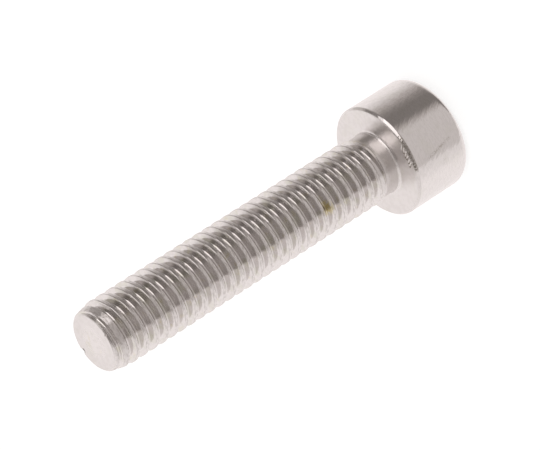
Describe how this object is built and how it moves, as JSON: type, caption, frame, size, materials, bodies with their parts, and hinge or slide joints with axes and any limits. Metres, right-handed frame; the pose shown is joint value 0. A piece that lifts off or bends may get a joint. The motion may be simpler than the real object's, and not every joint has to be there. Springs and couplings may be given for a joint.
{
  "type": "hex socket cap screw",
  "caption": "Hex socket cap screw in plain stainless steel: cylindrical head with a hexagonal socket, short smooth neck and a fully threaded shank with a tapered tip.",
  "frame": {"origin": "centre of the head's top face, where the socket opens, as the screw stands on its head", "axes": "+Z along the screw's axis from the head to the tip; two of the socket's corners lie on the X axis"},
  "size_m": [0.0098, 0.0098, 0.0361],
  "materials": {
    "stainless_steel": "smooth bright stainless steel, cold formed head, rolled thread with small nicks and faint olive oil stains in the roots"
  },
  "bodies": {
    "root": {"cap_screw": "stainless_steel"}
  },
  "joints": []
}
